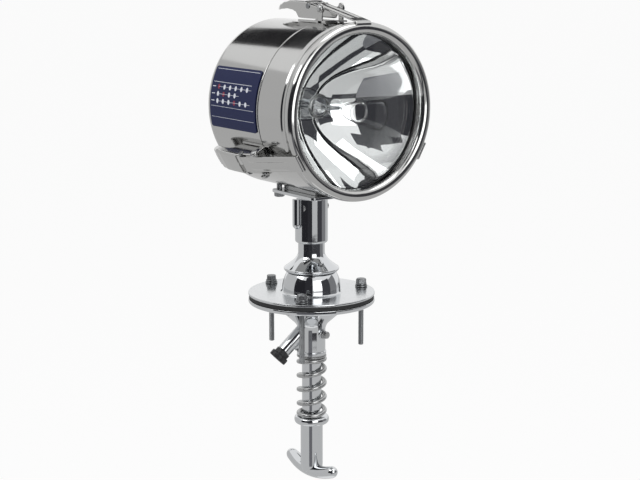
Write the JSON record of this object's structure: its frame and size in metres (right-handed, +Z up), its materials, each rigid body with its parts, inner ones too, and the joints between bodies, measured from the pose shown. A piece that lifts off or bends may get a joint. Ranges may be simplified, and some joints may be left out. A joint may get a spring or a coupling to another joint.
{
  "type": "cabin roof searchlight",
  "caption": "Polished searchlight on a round roof flange, turned and tilted from below by a sprung T-handle, with a sealed lamp in a clip-front drum.",
  "frame": {"origin": "on the shaft axis, in the plane of the roof gasket's underside", "axes": "+Z up along the shaft, the beam leaves along -Y, +X across the drum"},
  "size_m": [0.2062, 0.1665, 0.5324],
  "materials": {
    "polished_steel": "mirror-polished stainless steel",
    "satin_steel": "satin stainless steel",
    "bolt_steel": "dull bolt steel",
    "black_rubber": "matt black rubber",
    "black_plastic": "moulded black nylon",
    "bronze": "plain bearing bronze",
    "reflector": "aluminised glass",
    "lens_glass": "clear pressed glass",
    "blue_plate": "blue enamelled aluminium",
    "tungsten": "bare wire and sheet"
  },
  "bodies": {
    "base": {"top_flange": "polished_steel", "roof_gasket": "black_rubber", "upper_bush": "bronze", "lower_casting": "polished_steel", "lower_bush": "satin_steel", "roof_bolt_1": "bolt_steel", "roof_bolt_2": "bolt_steel", "roof_bolt_3": "bolt_steel", "roof_washer_1": "bolt_steel", "roof_washer_2": "bolt_steel", "roof_washer_3": "bolt_steel", "friction_lock_nut": "bolt_steel", "earth_screw": "bolt_steel", "gland_cap": "black_plastic", "gland_plug": "black_rubber", "spring_washer_plate": "satin_steel"},
    "friction_screw": {"friction_screw": "bolt_steel"},
    "turntable": {"bell": "polished_steel", "thrust_washer": "black_plastic", "neck_casting": "polished_steel", "tilt_pin": "satin_steel", "lock_screw": "bolt_steel", "drive_tube": "polished_steel"},
    "handle": {"push_rod": "polished_steel", "link_pin": "bolt_steel", "tee_handle": "polished_steel", "handle_grub_screw": "bolt_steel", "return_spring": "satin_steel"},
    "head": {"rear_pot": "polished_steel", "seam_gasket": "black_rubber", "front_band": "polished_steel", "lamp_reflector": "reflector", "lamp_lens": "lens_glass", "lens_gasket": "black_rubber", "lamp_ring": "satin_steel", "lamp_terminal_1": "bronze", "lamp_terminal_2": "bronze", "filament": "tungsten", "filament_shield": "reflector", "saddle_plate": "polished_steel", "saddle_pad": "satin_steel", "saddle_bolt_1": "bolt_steel", "saddle_bolt_2": "bolt_steel", "saddle_nut_1": "bolt_steel", "saddle_nut_2": "bolt_steel", "rating_plate": "blue_plate", "latch_base_1": "satin_steel", "latch_base_2": "satin_steel", "latch_base_3": "satin_steel"},
    "lever_1": {"latch_lever_1": "polished_steel", "strap_pin_1": "bolt_steel"},
    "strap_1": {"latch_strap_1": "polished_steel"},
    "lever_2": {"latch_lever_2": "polished_steel", "strap_pin_2": "bolt_steel"},
    "strap_2": {"latch_strap_2": "polished_steel"},
    "lever_3": {"latch_lever_3": "polished_steel", "strap_pin_3": "bolt_steel"},
    "strap_3": {"latch_strap_3": "polished_steel"}
  },
  "joints": [
    {"name": "pan", "type": "hinge", "parent": "base", "child": "turntable", "pos_m": [0, 0, 0], "axis": [0, 0, 1], "range_deg": [-180, 180]},
    {"name": "head_tilt", "type": "hinge", "parent": "turntable", "child": "head", "pos_m": [0, -0.006, 0.1023], "axis": [-1, 0, 0], "range_deg": [-20, 20]},
    {"name": "handle_slide", "type": "slide", "parent": "turntable", "child": "handle", "axis": [0, 0, 1], "range_m": [-0.0044, 0.0044], "deforming": ["return_spring"]},
    {"name": "friction_screw_turn", "type": "hinge", "parent": "base", "child": "friction_screw", "pos_m": [0, 0, -0.0404], "axis": [0.2419, -0.9703, 0], "range_deg": [-90, 90]},
    {"name": "latch_1", "type": "hinge", "parent": "head", "child": "lever_1", "pos_m": [0, -0.035, 0.3181], "axis": [1, 0, 0], "range_deg": [0, 75]},
    {"name": "latch_strap_1_swing", "type": "hinge", "parent": "lever_1", "child": "strap_1", "pos_m": [0, -0.011, 0.3201], "axis": [1, 0, 0], "range_deg": [-75, 0]},
    {"name": "latch_2", "type": "hinge", "parent": "head", "child": "lever_2", "pos_m": [0.09093, -0.035, 0.1606], "axis": [-0.5, 0, -0.866], "range_deg": [0, 75]},
    {"name": "latch_strap_2_swing", "type": "hinge", "parent": "lever_2", "child": "strap_2", "pos_m": [0.09266, -0.011, 0.1596], "axis": [-0.5, 0, -0.866], "range_deg": [-75, 0]},
    {"name": "latch_3", "type": "hinge", "parent": "head", "child": "lever_3", "pos_m": [-0.09093, -0.035, 0.1606], "axis": [-0.5, 0, 0.866], "range_deg": [0, 75]},
    {"name": "latch_strap_3_swing", "type": "hinge", "parent": "lever_3", "child": "strap_3", "pos_m": [-0.09266, -0.011, 0.1596], "axis": [-0.5, 0, 0.866], "range_deg": [-75, 0]}
  ],
  "couplings": [
    {"joint": "handle_slide", "follows": "head_tilt", "m_per_rad": -0.012248},
    {"joint": "latch_strap_1_swing", "follows": "latch_1", "ratio": -1},
    {"joint": "latch_strap_2_swing", "follows": "latch_2", "ratio": -1},
    {"joint": "latch_strap_3_swing", "follows": "latch_3", "ratio": -1}
  ]
}
